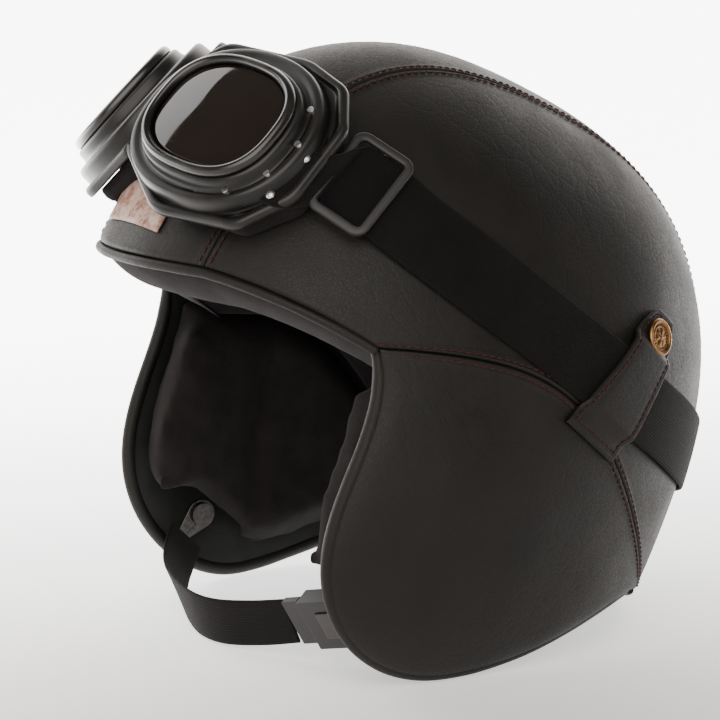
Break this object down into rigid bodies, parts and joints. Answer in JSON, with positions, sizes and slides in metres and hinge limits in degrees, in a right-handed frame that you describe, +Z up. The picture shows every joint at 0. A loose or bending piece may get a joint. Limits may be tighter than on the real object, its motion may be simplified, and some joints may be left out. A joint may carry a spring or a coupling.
{
  "type": "open-face motorcycle helmet",
  "caption": "Leather-covered open-face motorcycle helmet with ear flaps, goggles on an elastic strap held by snap tabs, and a buckled chin strap.",
  "frame": {"origin": "centre of the bounding box, on the surface that the helmet stands on", "axes": "+Z up, -Y towards the front of the helmet, +X towards the wearer's left"},
  "size_m": [0.2168, 0.2622, 0.242],
  "materials": {
    "leather": "fine-grained black leather, soft sheen",
    "tan_leather": "tan leather, worn",
    "shell_plastic": "matt moulded shell",
    "foam": "expanded foam beads",
    "lining": "black brushed fabric",
    "elastic": "woven elastic",
    "webbing": "woven nylon webbing",
    "goggle_rubber": "moulded rubber, satin",
    "rim_gloss": "gloss black",
    "lens_glass": "smoked lens",
    "foam_black": "fabric-faced foam",
    "moulded_plastic": "moulded plastic",
    "red_plastic": "red moulded plastic",
    "brass": "antique brass",
    "steel": "plated steel"
  },
  "bodies": {
    "helmet": {"shell": "shell_plastic", "foam_liner": "foam", "crown_lining": "lining", "brow_lining": "lining", "nape_lining": "lining", "leather_center": "leather", "leather_side_left": "leather", "leather_side_right": "leather", "ear_leather_left": "leather", "ear_leather_right": "leather", "brow_piping": "leather", "nape_piping": "leather", "ear_piping_left": "leather", "ear_piping_right": "leather", "brow_patch": "tan_leather", "cheek_plate_left": "shell_plastic", "cheek_plate_right": "shell_plastic", "cheek_pad_left": "lining", "cheek_pad_right": "lining", "tab_anchor_left": "leather", "tab_anchor_right": "leather", "snap_stud_left": "brass", "snap_stud_right": "brass", "band_rear": "elastic", "band_left": "elastic", "band_right": "elastic", "chin_rivets": "steel"},
    "goggles": {"goggle_frame": "goggle_rubber", "goggle_rivets": "steel", "lens_rim_left": "rim_gloss", "lens_rim_right": "rim_gloss", "lens_left": "lens_glass", "lens_right": "lens_glass", "face_foam_left": "foam_black", "face_foam_right": "foam_black"},
    "slider_left": {"band_slider_left": "moulded_plastic"},
    "slider_right": {"band_slider_right": "moulded_plastic"},
    "tab_left": {"snap_tab_left": "leather", "snap_cap_left": "brass", "snap_socket_left": "brass"},
    "tab_right": {"snap_tab_right": "leather", "snap_cap_right": "brass", "snap_socket_right": "brass"},
    "chin_strap": {"strap_end_left": "steel", "strap_end_right": "steel", "chin_web_left": "webbing", "chin_web_right": "webbing", "buckle_housing": "moulded_plastic"},
    "tongue": {"buckle_tongue": "steel"},
    "button": {"release_button": "red_plastic"}
  },
  "joints": [
    {"name": "goggles_swing", "type": "hinge", "parent": "helmet", "child": "goggles", "pos_m": [0, -0.0149, 0.0852], "axis": [1, 0, 0], "range_deg": [0, 42], "deforming": ["band_left", "band_right"]},
    {"name": "slider_left_slide", "type": "slide", "parent": "goggles", "child": "slider_left", "axis": [0.622, 0.5863, -0.519], "range_m": [0, 0.01]},
    {"name": "slider_right_slide", "type": "slide", "parent": "goggles", "child": "slider_right", "axis": [-0.622, 0.5863, -0.519], "range_m": [0, 0.01]},
    {"name": "tab_left_hinge", "type": "hinge", "parent": "helmet", "child": "tab_left", "pos_m": [0.10456, 0.02423, 0.09666], "axis": [-0.1301, 0.7641, -0.6318], "range_deg": [0, 100]},
    {"name": "tab_right_hinge", "type": "hinge", "parent": "helmet", "child": "tab_right", "pos_m": [-0.10456, 0.02423, 0.09666], "axis": [-0.1301, -0.7641, 0.6318], "range_deg": [0, 100]},
    {"name": "chin_strap_swing", "type": "hinge", "parent": "helmet", "child": "chin_strap", "pos_m": [0, -0.0549, 0.031], "axis": [1, 0, 0], "range_deg": [0, 50]},
    {"name": "tongue_slide", "type": "slide", "parent": "chin_strap", "child": "tongue", "axis": [-0.8928, -0.3865, -0.2314], "range_m": [0, 0.016], "deforming": ["chin_web_right"]},
    {"name": "release_button_press", "type": "slide", "parent": "chin_strap", "child": "button", "axis": [-0.45, 0.7892, 0.418], "range_m": [0, 0.0012], "stiffness_N_per_m": 300}
  ]
}
